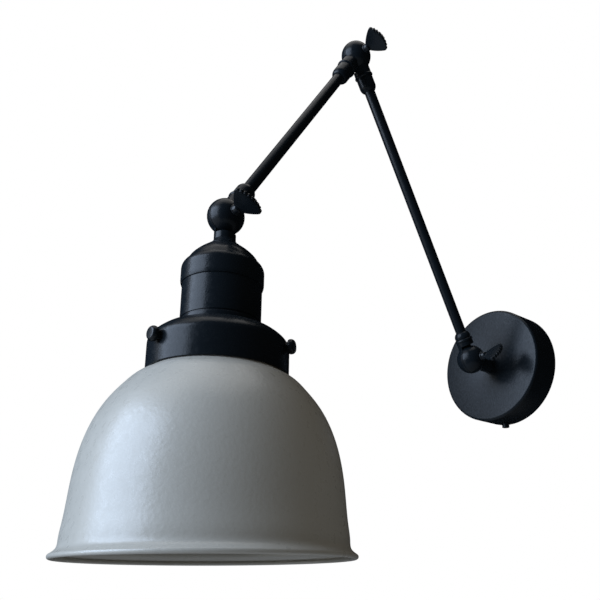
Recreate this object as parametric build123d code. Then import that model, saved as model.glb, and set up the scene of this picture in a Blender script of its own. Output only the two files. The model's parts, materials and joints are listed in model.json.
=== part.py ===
from build123d import *

import os
from math import atan2, cos, hypot, radians, sin, sqrt, tan

# Wall lamp on two arms that fold like an accordion: a round canopy, three split-ball swivel joints with
# fan-bladed wing screws, and a spun shade in a three-screw holder.
# Millimetres and degrees. The wall is the plane y = 0, the lamp stands out along -Y and +Z is up. The
# origin is the middle of the canopy's wall side.

# ---- Clearances ----
thread_gap = 0.05  # radial, between a screw thread and its hole, and between sleeves that are pressed on
turn_gap = 0.08  # radial, between a shaft and the bore in which it turns
face_gap = 0.1  # between two faces that slide on each other
hole_gap = 0.3  # radial, round a shank that only passes through
edge_gap = 0.6  # between the swinging ball and the shoulder of the other neck

# ---- Pose: where the joints stand ----
wall_reach = 47.0  # wall to the axis of the wall joint
arm1_length = 246.0  # joint axis to joint axis
arm1_lean = 28.7  # first arm, forward of upright
arm2_length = 204.0
arm2_lean = 30.9  # second arm, forward of plumb
fold_spare = 1.5  # how much further than the drawn pose the elbow can close

# ---- Canopy and its bracket ----
canopy_d = 90.0
canopy_depth = 25.0
canopy_wall = 1.2
canopy_edge_r = 2.0
bracket_w = 18.0
bracket_t = 1.5
tab_w = 12.0  # the bent ends of the bracket
tab_depth = 13.0
tab_gap = 0.35  # tab to the canopy's inside
slot_pitch = 56.0
slot_length = 9.0
slot_w = 4.6
cover_screw_r = 1.5
cover_screw_y = 8.0  # its distance from the wall
cover_head_r = 2.8
cover_head_h = 3.6
cover_slot_w = 0.8
cover_slot_depth = 0.9
cover_screw_spare = 2.0  # thread past the tab
peg_r = 1.7
peg_proud = 0.5  # how far the peg of the top tab stands out of the canopy
earth_screw_r = 2.0
earth_head_r = 3.9
earth_head_h = 2.6
earth_z = -13.0
earth_nut_h = 2.4  # drawn collar of the bracket in which the earth screw is tapped

# ---- Terminal block ----
block_ways = 3
block_pitch = 9.0
block_end = 1.2  # wall outside the last way
block_h = 16.0
block_depth = 13.0
block_rise = 5.0  # its lower face above the middle of the canopy
block_groove_w = 1.6
block_groove_depth = 5.0
wire_bore_r = 1.7
wire_bore_depth = 5.0  # centre of the wire bores, out from the bracket
block_screw_r = 1.5
block_screw_sink = 0.8  # screw head below the face
block_screw_edge = 4.0  # screws in from the ends of the block
block_screw_slot = 0.6
snap_r = 1.4
snap_x = 6.0

# ---- Swivel knuckle: two half balls on necks, split across the pivot ----
ball_r = 11.0
split_gap = 0.2
neck_r = 6.4
arm_neck = 15.0  # ball centre to the end of an arm's neck
elbow_neck = 18.5  # the same on top of the second arm, which stands clear of the first
stub_r = 5.3  # sleeve past the neck, inside the collar, that lengthens the tube's thread
stub_length = 5.0
socket_floor = 0.8  # metal between the neck's shoulder and its threaded socket
cavity_r = 7.5  # room for the wires inside the ball
boss_r = 3.6  # round the clamping screw
cable_r = 3.2
spigot_step = 0.4  # the spigot's seat is this much wider than the cavity
spigot_t = 0.85  # wall of the ring that centres the two halves
spigot_proud = 0.9
spigot_spare = 0.4
seat_x = 10.3  # flat under the wing screw, from the ball's middle
end_wall = 1.6  # metal past the blind end of the screw's hole
tip_room = 0.7  # between the screw's tip and the blind end

# ---- Nipples (hollow threaded tubes) and their nuts ----
nipple_r = 5.0
nipple_bore_r = 3.5
nipple_spare = 1.5  # thread that shows past its nut
washer_r = 8.5
washer_t = 1.2
nut_flats = 14.0
nut_h = 3.5

# ---- Arms ----
tube_r = 4.0
tube_wall = 1.0
wall_collar_length = 7.4
arm_collar_length = 13.0
elbow_collar_length = 15.5
collar_bead_w = 2.2  # round bead where the collar meets the neck
collar_bead_proud = 0.55
collar_groove_depth = 0.5
collar_groove_w = 0.7
collar_r = 6.2  # between the groove and the bell
collar_bell_h = 3.7
collar_tip_wall = 0.45  # at the thin end of the bell
collar_bell_bulge = 0.43  # how far the bell stands out over a straight cone

# ---- Wing screws: fan blade with a notched edge on a short hub ----
screw_r = 2.0
hub_flange_r = 3.5
hub_flange_h = 1.0
hub_r = 3.0
hub_length = 3.8
blade_t = 2.4
blade_chamfer = 0.4
blade_apex = 3.5  # middle of the fan's arc, out from the seat
blade_r = 14.8
blade_half = 43.5  # half of the fan's angle
blade_waist = 0.6  # how far the flanks curve in
blade_corner_r = 1.8
teeth = 9
notch_r = 0.95
notch_depth = 0.6
wing_turn_wall = 50.0  # how far each blade is turned on its screw: at 0 it lies level
wing_turn_elbow = 153.0
wing_turn_head = 153.0

# ---- Lamp holder: sizes down from the axis of the head joint ----
head_neck = 16.0
cap_profile = [
    (16.0, 6.4),
    (17.6, 7.4),
    (19.5, 9.1),
    (21.5, 11.7),
    (23.5, 14.3),
    (25.5, 16.5),
    (28.4, 19.1),
    (31.6, 20.9),
]
cap_band_at = 36.6  # where the band round its foot is full
cap_band_bulge = 0.75  # roundness of the band's shoulder
cap_bottom = 45.6
cap_edge_h = 2.6  # the band's lower edge is drawn in
cap_edge_in = 0.5
cap_wall = 0.95
cap_seat_depth = 4.2  # under the cap's top, where its inside is flat for the nut
shell_r = 22.6
shell_wall = 1.0
shell_in_cap = 5.4
holder_top = 71.5  # where the shade holder rests on the shell's bead
shell_bead_h = 3.6
shell_bead_proud = 0.15
shell_bead_ease = 0.9  # height of the slope at each end of the bead
shell_groove_w = 1.0
shell_groove_depth = 0.5
shell_step = 1.2  # the threaded end is this much smaller in radius
shell_below = 10.0  # threaded end below the holder's top
lip_t = 1.0
lip_w = 1.6

# ---- Inside the lamp holder ----
insert_gap = 0.3
insert_length = 26.0
insert_floor = 4.0
contact_well = 4.2  # room for the contact between the ceramic floor and the shell's floor
socket_thread_r = 13.35
screw_shell_t = 0.5
screw_shell_short = 1.0  # its edge stays behind the mouth
contact_w = 6.0
contact_t = 0.6
contact_rise = 4.0
contact_reach = 8.0
shell_floor_hole_r = 9.0
rivet_r = 1.5
terminal_x = 13.0
terminal_r = 1.75
terminal_head_r = 3.2
terminal_head_h = 2.2
terminal_grip = 2.8
terminal_slot = 0.7

# ---- Shade holder and its ring ----
holder_profile = [
    (0.0, 24.6),
    (0.9, 28.4),
    (2.5, 31.6),
    (4.5, 34.4),
    (7.0, 37.1),
    (9.5, 38.6),
    (12.0, 39.0),
]
holder_wall = 1.2
holder_depth = 27.2
ring_w = 2.9
ring_h = 4.0
ring_round = 0.8
thumb_angles = [-84.0, 36.0, 156.0]
thumb_at = 13.0  # below the holder's top
thumb_r = 1.8
thumb_head_r = 4.2
thumb_head_h = 3.4
thumb_neck_r = 2.8
thumb_neck_h = 1.6
thumb_round = 0.9
thumb_tip_gap = 0.3

# ---- Shade ----
neck_in_holder = 35.6  # outer radius of the shade's neck
shade_wall = 1.0
neck_top_lip = 1.5  # how far its rolled top edge stands out
neck_top_lip_h = 2.0
neck_straight = 9.5  # from the lip to where the flare starts
shade_profile = [
    (98.6, 37.4),
    (102.0, 42.6),
    (108.0, 49.1),
    (118.0, 56.9),
    (130.0, 63.1),
    (145.0, 67.6),
    (162.0, 70.1),
    (180.0, 71.7),
    (192.2, 72.8),
]
rim_at = 196.0
rim_r = 77.0
rim_bead_r = 1.4
rim_flare = 55.0  # the sheet's slope where it runs into the bead, off the lamp's axis

# ---- Places that follow from the sizes above ----
canopy_r = canopy_d / 2
closest_fold = arm1_lean + arm2_lean - fold_spare
neck_shoulder = max(ball_r + edge_gap, neck_r / tan(radians(closest_fold / 2)) + split_gap)
spigot_seat_r = cavity_r + spigot_step
spigot_r = spigot_seat_r - turn_gap
socket_start = neck_shoulder + socket_floor

wall_pivot = (0.0, -wall_reach, 0.0)
elbow_pivot = (
    0.0,
    wall_pivot[1] - arm1_length * sin(radians(arm1_lean)),
    wall_pivot[2] + arm1_length * cos(radians(arm1_lean)),
)
head_pivot = (
    0.0,
    elbow_pivot[1] - arm2_length * sin(radians(arm2_lean)),
    elbow_pivot[2] - arm2_length * cos(radians(arm2_lean)),
)

# Frames: every turned or swinging piece is drawn along +Z and then laid in one of these.
off_wall = Rot(X=90)  # +Z runs out of the wall, +Y up
wall_neck_frame = Pos(*wall_pivot) * Rot(X=-90)
arm1_frame = Pos(*wall_pivot) * Rot(X=arm1_lean)
arm1_top_frame = Pos(*elbow_pivot) * Rot(X=180 + arm1_lean)
arm2_frame = Pos(*elbow_pivot) * Rot(X=180 - arm2_lean)
arm2_foot_frame = Pos(*head_pivot) * Rot(X=-arm2_lean)
head_frame = Pos(*head_pivot) * Rot(X=180)


# ---- Helpers ----
def rod(radius, start, end):
    """Cylinder round the Z axis from one height to another."""
    return Pos(0, 0, (start + end) / 2) * Cylinder(radius, end - start)


def cross_rod(radius, start, end):
    """Cylinder round the X axis."""
    return Pos((start + end) / 2, 0, 0) * Rot(Y=90) * Cylinder(radius, end - start)


def turned(*edges):
    """Solid turned round the Z axis from a closed outline of (radius, height) points or edges."""
    return revolve(Plane.XZ * make_face(Curve() + list(edges)), Axis.Z)


def turned_points(points):
    return turned(Polyline(*points, close=True))


def inward(points, wall):
    """The outline moved in by the wall, at right angles to itself; points are (height, radius)."""
    moved = []
    for i, (height, radius) in enumerate(points):
        before = points[max(i - 1, 0)]
        after = points[min(i + 1, len(points) - 1)]
        dh, dr = after[0] - before[0], after[1] - before[1]
        size = hypot(dh, dr)
        moved.append((height + wall * dr / size, radius - wall * dh / size))
    return moved


def flowing(points, start, end):
    """Smooth edge through (height, radius) points, with its (radius, height) ways at both ends."""
    ways = [Vector(*start).normalized(), Vector(*end).normalized()]
    return Spline(*[(r, d) for d, r in points], tangents=ways, tangent_scalars=[1, 1])


def hex_nut(flats, bore_r, start, end):
    blank = extrude(RegularPolygon(flats / 2, 6, major_radius=False), end - start)
    return Pos(0, 0, start) * blank - rod(bore_r, start - 1, end + 1)


def slotted_screw(shank_r, shank_length, head_r, head_h, slot_w, slot_depth):
    """Screw along -Z with its cheese head on the plane z = 0."""
    screw = rod(shank_r, -shank_length, 0) + rod(head_r, 0, head_h)
    slot = Pos(0, 0, head_h - slot_depth / 2) * Box(2 * head_r + 1, slot_w, slot_depth)
    return screw - slot


# ---- Canopy, bracket and terminal block ----
def canopy():
    """Drawn cup with a rounded front edge and a hole in the middle for the hollow nipple."""
    flat_r = canopy_r - canopy_edge_r
    bend = canopy_depth - canopy_edge_r
    bore = nipple_r + turn_gap
    inside = canopy_depth - canopy_wall
    inside_r = canopy_r - canopy_wall
    skin = turned(
        CenterArc((flat_r, bend), canopy_edge_r, 0, 90),
        Polyline((flat_r, canopy_depth), (bore, canopy_depth), (bore, inside), (flat_r, inside)),
        CenterArc((flat_r, bend), canopy_edge_r - canopy_wall, 0, 90),
        Polyline((inside_r, bend), (inside_r, 0), (canopy_r, 0), (canopy_r, bend)),
    )
    for side, radius in ((-1, cover_screw_r), (1, peg_r)):
        hole = Rot(X=90) * Cylinder(radius + hole_gap, 4 * canopy_wall)
        skin -= Pos(0, side * canopy_r, cover_screw_y) * hole
    return off_wall * skin


def fits_inside(width):
    """Half the length that a flat piece of this width can have inside the round canopy."""
    return sqrt((canopy_r - canopy_wall) ** 2 - (width / 2) ** 2) - tab_gap


def wall_bracket():
    """Steel strip with two slots and bent tabs: the lower one is tapped, the upper one has a peg."""
    top = fits_inside(tab_w)
    strip = Pos(0, 0, bracket_t / 2) * Box(bracket_w, 2 * fits_inside(bracket_w), bracket_t)
    strip += Pos(0, 0, bracket_t / 2) * Box(tab_w, 2 * top, bracket_t)
    for side in (-1, 1):
        strip += Pos(0, side * (top - bracket_t / 2), tab_depth / 2) * Box(tab_w, bracket_t, tab_depth)
        slot = Pos(0, side * slot_pitch / 2, 0) * Rot(Z=90) * SlotOverall(slot_length, slot_w)
        strip -= extrude(slot, bracket_t)
        snap = Pos(side * snap_x, block_rise + block_h / 2, 0)
        strip -= snap * rod(snap_r + hole_gap, 0, bracket_t)
    strip -= Pos(0, -top, cover_screw_y) * Rot(X=90) * Cylinder(cover_screw_r + thread_gap, 4 * bracket_t)
    peg_top = canopy_r + peg_proud
    strip += Pos(0, (top + peg_top) / 2, cover_screw_y) * Rot(X=90) * Cylinder(peg_r, peg_top - top)
    strip += Pos(0, earth_z, 0) * rod(earth_head_r, bracket_t, bracket_t + earth_nut_h)
    strip -= Pos(0, earth_z, 0) * rod(earth_screw_r + thread_gap, 0, bracket_t + earth_nut_h)
    return off_wall * strip


def canopy_screw():
    """Cheese-head screw up through the canopy's underside into the lower tab."""
    shank = canopy_r - fits_inside(tab_w) + bracket_t + cover_screw_spare
    screw = slotted_screw(
        cover_screw_r, shank, cover_head_r, cover_head_h, cover_slot_w, cover_slot_depth
    )
    # The head's flat meets the round canopy on its middle line.
    return off_wall * Pos(0, -canopy_r - face_gap, cover_screw_y) * Rot(X=90) * screw


def earth_screw():
    length = bracket_t + earth_nut_h - face_gap
    screw = slotted_screw(
        earth_screw_r, length, earth_head_r, earth_head_h, cover_slot_w, cover_slot_depth
    )
    return off_wall * Pos(0, earth_z, bracket_t + earth_nut_h + face_gap) * screw


def way_places():
    return [(i - (block_ways - 1) / 2) * block_pitch for i in range(block_ways)]


def screw_heights():
    return [block_rise + block_screw_edge, block_rise + block_h - block_screw_edge]


def terminal_block():
    """Moulded strip of wire ways, each with a through bore and two screw wells, on two snap feet."""
    width = block_ways * block_pitch + 2 * block_end
    middle = block_rise + block_h / 2
    top = bracket_t + block_depth
    block = Pos(0, middle, bracket_t + block_depth / 2) * Box(width, block_h, block_depth)
    for x in way_places():
        block -= Pos(x, middle, bracket_t + wire_bore_depth) * Rot(X=90) * Cylinder(wire_bore_r, block_h)
        for y in screw_heights():
            block -= Pos(x, y, 0) * rod(block_screw_r + thread_gap, bracket_t + wire_bore_depth, top)
    for x in way_places()[1:]:
        groove_x = x - block_pitch / 2
        block -= Pos(groove_x, middle, top - block_groove_depth / 2) * Box(
            block_groove_w, block_h, block_groove_depth
        )
    for side in (-1, 1):
        block += Pos(side * snap_x, middle, 0) * rod(snap_r, face_gap, bracket_t)
    return off_wall * block


def terminal_screws():
    """Slotted grub screws in the wells of the terminal block, one group of separate solids."""
    top = bracket_t + block_depth - block_screw_sink
    foot = bracket_t + wire_bore_depth + wire_bore_r
    grub = rod(block_screw_r, foot, top)
    grub -= Pos(0, 0, top) * Box(2 * block_screw_r + 1, block_screw_slot, 2 * block_screw_slot)
    group = [Pos(x, y, 0) * grub for x in way_places() for y in screw_heights()]
    return off_wall * Compound(children=group)


# ---- Swivel knuckles ----
def on_ball(radius, x):
    """(distance from the X axis, x) of the point of a ball's section at x."""
    return (sqrt(radius**2 - x**2), x)


def ball_arc(radius, start, end):
    """Arc of a ball's section between two of its points, each (distance from the axis, x)."""
    turn = (atan2(start[1], start[0]) + atan2(end[1], end[0])) / 2
    return ThreePointArc(start, (radius * cos(turn), radius * sin(turn)), end)


def seat_half():
    """Half ball on the +X side: counterbore for the spigot, through bore and the wing screw's seat."""
    bore = screw_r + turn_gap
    face = split_gap / 2
    step = face + spigot_proud + spigot_spare
    rim, flat = on_ball(ball_r, face), on_ball(ball_r, seat_x)
    boss_end = (boss_r, sqrt(cavity_r**2 - boss_r**2))
    mouth = on_ball(cavity_r, step)
    return turned(
        ball_arc(ball_r, rim, flat),
        Polyline(flat, (bore, seat_x), (bore, face), (boss_r, face), boss_end),
        ball_arc(cavity_r, boss_end, mouth),
        Polyline(mouth, (spigot_seat_r, step), (spigot_seat_r, face), rim),
    )


def tapped_half():
    """Half ball on the -X side: spigot ring and a blind tapped hole."""
    bore = screw_r + thread_gap
    face = -split_gap / 2
    inner_r = spigot_r - spigot_t
    rim, pole = on_ball(ball_r, face), (0, -ball_r)
    blind = end_wall - ball_r
    boss_end = (boss_r, -sqrt(cavity_r**2 - boss_r**2))
    mouth = (inner_r, -sqrt(cavity_r**2 - inner_r**2))
    return turned(
        ball_arc(ball_r, rim, pole),
        Polyline(pole, (0, blind), (bore, blind), (bore, face), (boss_r, face), boss_end),
        ball_arc(cavity_r, boss_end, mouth),
        Polyline(mouth, (inner_r, spigot_proud), (spigot_r, spigot_proud), (spigot_r, face), rim),
    )


def blank_knuckle(side, neck_end):
    """Half ball on a neck along +Z, cut at the plane x = 0; side is -1 or +1 along X.

    The neck is whole from its shoulder on, and there the other half swings past it.
    """
    ball = Rot(Y=90) * (tapped_half() if side < 0 else seat_half())
    own_side = Pos(side * (split_gap + neck_end) / 2, 0, 0) * Box(neck_end, 2 * neck_end, 2 * neck_end)
    neck = rod(neck_r, 0, neck_shoulder) & own_side
    neck -= Sphere((ball_r + cavity_r) / 2)
    return ball + neck + rod(neck_r, neck_shoulder, neck_end)


def wire_way(end):
    return rod(cable_r, boss_r + split_gap, end)


def arm_knuckle(side, neck):
    """Knuckle with a stub past its neck that the collar covers; the tube screws into both."""
    end = neck + stub_length
    half = blank_knuckle(side, neck) + rod(stub_r, neck, end)
    return half - wire_way(end) - rod(tube_r + thread_gap, socket_start, end)


def wall_knuckle():
    end = wall_reach - canopy_depth - face_gap
    half = blank_knuckle(1, end) - wire_way(end)
    return wall_neck_frame * (half - rod(nipple_r + thread_gap, socket_start, end))


def head_knuckle():
    """Knuckle whose neck runs on as a hollow threaded stem through the cap."""
    end = head_neck + cap_seat_depth + nut_h + nipple_spare
    stem = rod(nipple_r, head_neck, end)
    return head_frame * (blank_knuckle(-1, head_neck) + stem - wire_way(end))


def blade_face():
    """Fan outline in the XY plane: curved flanks, rounded corners and a notched arc."""
    apex = seat_x + blade_apex
    root = seat_x + hub_length
    corner = (apex + blade_r * cos(radians(blade_half)), blade_r * sin(radians(blade_half)))
    middle = ((root + corner[0]) / 2, (hub_r + corner[1]) / 2 - blade_waist)
    foot = seat_x + hub_flange_h
    face = make_face(
        Curve()
        + [
            Polyline((root, hub_r), (foot, hub_r), (foot, -hub_r), (root, -hub_r)),
            ThreePointArc((root, -hub_r), (middle[0], -middle[1]), (corner[0], -corner[1])),
            ThreePointArc((corner[0], -corner[1]), (apex + blade_r, 0), corner),
            ThreePointArc(corner, middle, (root, hub_r)),
        ]
    )
    face = fillet(face.vertices().group_by(Axis.X)[-1], blade_corner_r)
    step = 2 * blade_half / teeth
    for i in range(1, teeth):
        turn = radians(i * step - blade_half)
        reach = blade_r + notch_r - notch_depth
        face -= Pos(apex + reach * cos(turn), reach * sin(turn)) * Circle(notch_r)
    return face


def wing_screw(turn):
    """Clamping screw along X: shank, flanged hub and a flat fan blade that is turned by hand."""
    seat = seat_x + face_gap
    tip = end_wall - ball_r + tip_room
    blade = Pos(0, 0, -blade_t / 2) * extrude(blade_face(), blade_t)
    blade = chamfer(blade.faces().filter_by(Axis.Z).edges(), blade_chamfer)
    screw = blade + cross_rod(screw_r, tip, seat + hub_flange_h)
    screw += cross_rod(hub_flange_r, seat, seat + hub_flange_h)
    screw += cross_rod(hub_r, seat, seat_x + hub_length)
    return Rot(X=turn) * screw


# ---- Arms ----
def arm_tube(length):
    start = socket_start + face_gap
    return rod(tube_r, start, length - start) - rod(tube_r - tube_wall, start - 1, length)


def collar(start, length):
    """Turned sleeve over stub and tube: a bead and a groove by the neck, then a bell down to the tube."""
    bore = tube_r + thread_gap
    stub_bore = stub_r + thread_gap
    stub_end = start + stub_length + face_gap
    groove = start + collar_bead_w
    groove_end = groove + collar_groove_w
    end = start + length
    bell = end - collar_bell_h
    tip_r = bore + collar_tip_wall
    return turned(
        Polyline((bore, end), (bore, stub_end), (stub_bore, stub_end), (stub_bore, start), (neck_r, start)),
        ThreePointArc(
            (neck_r, start),
            (neck_r + collar_bead_proud, start + collar_bead_w / 2),
            (neck_r, groove),
        ),
        Polyline(
            (neck_r, groove),
            (neck_r - collar_groove_depth, groove),
            (neck_r - collar_groove_depth, groove_end),
            (collar_r, groove_end),
            (collar_r, bell),
        ),
        SagittaArc((collar_r, bell), (tip_r, end), -collar_bell_bulge),
        Line((tip_r, end), (bore, end)),
    )


# ---- Nipples and nuts ----
def wall_nipple():
    start = socket_start + face_gap
    inside = wall_reach - canopy_depth + canopy_wall
    end = inside + face_gap + washer_t + nut_h + nipple_spare
    return wall_neck_frame * (rod(nipple_r, start, end) - rod(nipple_bore_r, start - 1, end + 1))


def wall_nipple_washer():
    start = wall_reach - canopy_depth + canopy_wall + face_gap
    end = start + washer_t
    return wall_neck_frame * (rod(washer_r, start, end) - rod(nipple_r + thread_gap, start - 1, end + 1))


def wall_nipple_nut():
    start = wall_reach - canopy_depth + canopy_wall + face_gap + washer_t
    return wall_neck_frame * hex_nut(nut_flats, nipple_r + thread_gap, start, start + nut_h)


def stem_nut():
    start = head_neck + cap_seat_depth
    return head_frame * hex_nut(nut_flats, nipple_r + thread_gap, start, start + nut_h)


# ---- Lamp holder ----
def socket_cap():
    """Domed cap under the neck, flat inside for the nut, with a rounded band that takes the shell."""
    crown, foot = cap_profile[0], cap_profile[-1]
    bore = nipple_r + thread_gap
    seat = head_neck + cap_seat_depth
    band_bore = shell_r + thread_gap
    band_r = band_bore + cap_wall
    edge = cap_bottom - cap_edge_h
    inner = [p for p in inward(cap_profile, cap_wall) if p[0] > seat + cap_wall]
    seat_r = inner[0][1] - (inner[1][1] - inner[0][1]) * (inner[0][0] - seat) / (inner[1][0] - inner[0][0])
    inner = [(seat, seat_r)] + inner
    return head_frame * turned(
        Spline(*[(r, d) for d, r in cap_profile]),
        SagittaArc((foot[1], foot[0]), (band_r, cap_band_at), -cap_band_bulge),
        Line((band_r, cap_band_at), (band_r, edge)),
        SagittaArc((band_r, edge), (band_r - cap_edge_in, cap_bottom), -cap_edge_in / 4),
        Polyline((band_r - cap_edge_in, cap_bottom), (band_bore, cap_bottom), (band_bore, cap_band_at)),
        SagittaArc((band_bore, cap_band_at), (inner[-1][1], inner[-1][0]), cap_band_bulge),
        Spline(*[(r, d) for d, r in reversed(inner)]),
        Polyline((inner[0][1], seat), (bore, seat), (bore, crown[0]), (crown[1], crown[0])),
    )


def shell_top():
    return cap_bottom - shell_in_cap


def shell_bottom():
    return holder_top + shell_below


def shell_bore():
    return shell_r - shell_step - shell_wall


def socket_shell():
    """Straight skirt with a groove and a bead, then a smaller threaded end with a lip turned in."""
    bead = holder_top - shell_bead_h
    groove = bead - shell_groove_w
    end_r = shell_r - shell_step
    return head_frame * turned_points(
        [
            (shell_r, shell_top()),
            (shell_r, groove),
            (shell_r - shell_groove_depth, groove),
            (shell_r - shell_groove_depth, bead),
            (shell_r, bead),
            (shell_r + shell_bead_proud, bead + shell_bead_ease),
            (shell_r + shell_bead_proud, holder_top - shell_bead_ease),
            (shell_r, holder_top),
            (end_r, holder_top),
            (end_r, shell_bottom()),
            (shell_bore() - lip_w, shell_bottom()),
            (shell_bore() - lip_w, shell_bottom() - lip_t),
            (shell_bore(), shell_bottom() - lip_t),
            (shell_bore(), shell_top()),
        ]
    )


def socket_mouth():
    return shell_bottom() - lip_t - face_gap


def insert_top():
    return socket_mouth() - insert_length


def shell_floor():
    return insert_top() + insert_floor + contact_well


def socket_insert():
    """Ceramic body that drops into the shell and rests on its lip, with a well for the contact."""
    outer_r = shell_bore() - insert_gap
    body = rod(outer_r, insert_top(), socket_mouth())
    body -= rod(socket_thread_r + screw_shell_t + thread_gap, shell_floor(), socket_mouth())
    body -= rod(shell_floor_hole_r, insert_top() + insert_floor, socket_mouth())
    body -= rod(rivet_r + thread_gap, insert_top(), insert_top() + insert_floor)
    for side in (-1, 1):
        body -= Pos(side * terminal_x, 0, 0) * rod(
            terminal_r + thread_gap, insert_top(), insert_top() + terminal_grip + face_gap
        )
    return head_frame * body


def screw_shell():
    """Thin shell with a holed floor that takes the lamp's screw cap."""
    floor = shell_floor()
    outer_r = socket_thread_r + screw_shell_t
    edge = socket_mouth() - screw_shell_short
    shell = rod(outer_r, floor, edge) - rod(socket_thread_r, floor + screw_shell_t, edge)
    return head_frame * (shell - rod(shell_floor_hole_r, floor, floor + screw_shell_t))


def centre_contact():
    """Spring tongue riveted to the ceramic floor; its tip stands under the lamp's tip."""
    floor = insert_top() + insert_floor
    half = contact_reach / 2
    tongue = Polyline(
        (half, floor),
        (-half, floor),
        (-half, floor + contact_t),
        (half - 2 * contact_t, floor + contact_t),
        (-contact_t, floor + contact_rise - contact_t),
        (-half / 2, floor + contact_rise - contact_t),
        (-half / 2, floor + contact_rise),
        (0, floor + contact_rise),
        (half, floor + 2 * contact_t),
        close=True,
    )
    strip = extrude(Plane.XZ * make_face(tongue), contact_w / 2, both=True)
    return head_frame * (strip + rod(rivet_r, insert_top(), floor))


def socket_terminals():
    """Two wire screws in the ceramic body's top, one group of separate solids."""
    screw = slotted_screw(
        terminal_r, terminal_grip, terminal_head_r, terminal_head_h, terminal_slot, terminal_slot
    )
    group = [Pos(side * terminal_x, 0, insert_top() - face_gap) * Rot(X=180) * screw for side in (-1, 1)]
    return head_frame * Compound(children=group)


# ---- Shade holder ----
def holder_outline():
    return [(holder_top + d, r) for d, r in holder_profile]


def holder_r():
    return holder_profile[-1][1]


def shade_holder():
    """Spun cup with a rounded shoulder, three tapped holes and a hole over the shell's threaded end."""
    outer = holder_outline()
    inner = inward(outer, holder_wall)
    inner = [(holder_top + holder_wall, outer[0][1])] + inner[1:]
    bore = shell_r - shell_step + thread_gap
    bottom = holder_top + holder_depth
    inner_r = holder_r() - holder_wall
    inner[-1] = (outer[-1][0], inner_r)
    cup = turned(
        flowing(outer, (1, 0), (0, 1)),
        Polyline(
            (holder_r(), outer[-1][0]),
            (holder_r(), bottom),
            (inner_r, bottom),
            (inner_r, outer[-1][0]),
        ),
        flowing(inner[::-1], (0, -1), (-1, 0)),
        Polyline(
            (inner[0][1], inner[0][0]),
            (bore, inner[0][0]),
            (bore, holder_top),
            (outer[0][1], holder_top),
        ),
    )
    for angle in thumb_angles:
        cup -= thumb_frame(angle) * rod(thumb_r + thread_gap, holder_r() - 3 * holder_wall, holder_r() + 1)
    return head_frame * cup


def thumb_frame(angle):
    """Frame whose +Z runs out from the lamp's axis at the height of the thumb screws."""
    return Pos(0, 0, holder_top + thumb_at) * Rot(Z=-angle) * Rot(Y=90)


def holder_ring():
    """Threaded ring that clamps the shade holder against the shell's bead."""
    start = holder_top + holder_wall
    bore = shell_r - shell_step + thread_gap
    outer_r = bore + ring_w
    ring = rod(outer_r, start, start + ring_h) - rod(bore, start - 1, start + ring_h + 1)
    rims = ring.edges().filter_by(GeomType.CIRCLE).group_by(SortBy.RADIUS)[-1]
    return head_frame * fillet(rims, ring_round)


def thumb_screw(angle):
    """Round-headed screw through the holder's wall; its tip stands just off the shade's neck."""
    face = holder_r() + face_gap
    end = face + thumb_neck_h + thumb_head_h
    screw = rod(thumb_r, neck_in_holder + thumb_tip_gap, face + thumb_neck_h)
    screw += rod(thumb_neck_r, face, face + thumb_neck_h)
    head = rod(thumb_head_r, face + thumb_neck_h, end)
    screw += fillet(head.edges().filter_by(GeomType.CIRCLE), thumb_round)
    return head_frame * thumb_frame(angle) * screw


# ---- Shade ----
def shade():
    """Spun dome: a neck with a rolled top edge, a swelling side and a flared rim with a bead."""
    lip_bottom = holder_top + thumb_at - thumb_r - face_gap
    lip_top = lip_bottom - neck_top_lip_h
    flare = lip_bottom + neck_straight
    lip_r = neck_in_holder + neck_top_lip
    bore = neck_in_holder - shade_wall
    slope = radians(rim_flare)
    under = shade_wall - rim_bead_r  # the sheet's inside, across its own slope from the bead's middle
    back = -sqrt(rim_bead_r**2 - under**2)

    def on_bead(along, across):
        """(radius, height) of a point from the bead's middle, along the flared sheet and out across it."""
        return (
            rim_r - rim_bead_r + along * sin(slope) + across * cos(slope),
            rim_at + along * cos(slope) - across * sin(slope),
        )

    over, tip, inside = on_bead(0, rim_bead_r), on_bead(rim_bead_r, 0), on_bead(back, -under)
    outer = [(flare, neck_in_holder)] + shade_profile + [over[::-1]]
    inner = [(flare, bore)] + inward(outer, shade_wall)[1:-1] + [inside[::-1]]
    return head_frame * turned(
        Polyline(
            (bore, flare),
            (bore, lip_top),
            (lip_r, lip_top),
            (lip_r, lip_bottom),
            (neck_in_holder, lip_bottom),
            (neck_in_holder, flare),
        ),
        flowing(outer, (0, 1), (sin(slope), cos(slope))),
        ThreePointArc(over, tip, inside),
        flowing(inner[::-1], (-sin(slope), -cos(slope)), (0, -1)),
    )


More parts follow.
